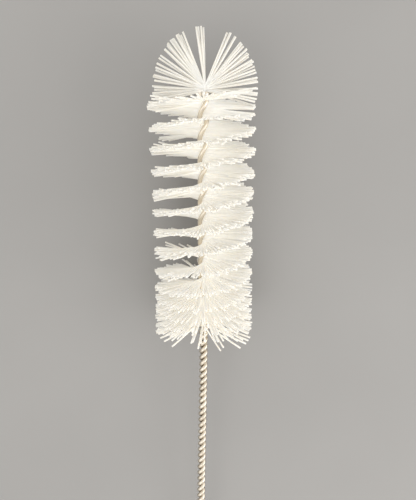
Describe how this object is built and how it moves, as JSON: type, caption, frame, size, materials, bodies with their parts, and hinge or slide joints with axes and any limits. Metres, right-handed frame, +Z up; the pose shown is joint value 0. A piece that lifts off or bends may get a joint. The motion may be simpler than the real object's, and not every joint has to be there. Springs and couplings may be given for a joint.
{
  "type": "bottle brush",
  "caption": "Small twisted-wire bottle brush with a screw-shaped nylon head, a flat fan tip and a hanging eye at the end of its bare wire handle.",
  "frame": {"origin": "centre of the bounding box at floor level, with the brush lying on its eye and its lowest row of bristles", "axes": "+Y along the brush from the eye towards the fan tip, +Z up from the floor, +X across the brush, along the flat fan and across the eye"},
  "size_m": [0.018, 0.1496, 0.0202],
  "materials": {
    "wire": "drawn steel wire, bright with a warm tint",
    "nylon": "milky white nylon filament, semi-gloss and slightly see-through"
  },
  "bodies": {
    "root": {"twisted_wire": "wire", "fan_bristles": "nylon", "bristle_row_01": "nylon", "bristle_row_02": "nylon", "bristle_row_03": "nylon", "bristle_row_04": "nylon", "bristle_row_05": "nylon", "bristle_row_06": "nylon", "bristle_row_07": "nylon", "bristle_row_08": "nylon", "bristle_row_09": "nylon", "bristle_row_10": "nylon", "bristle_row_11": "nylon", "bristle_row_12": "nylon", "bristle_row_13": "nylon", "bristle_row_14": "nylon", "bristle_row_15": "nylon", "bristle_row_16": "nylon"}
  },
  "joints": []
}
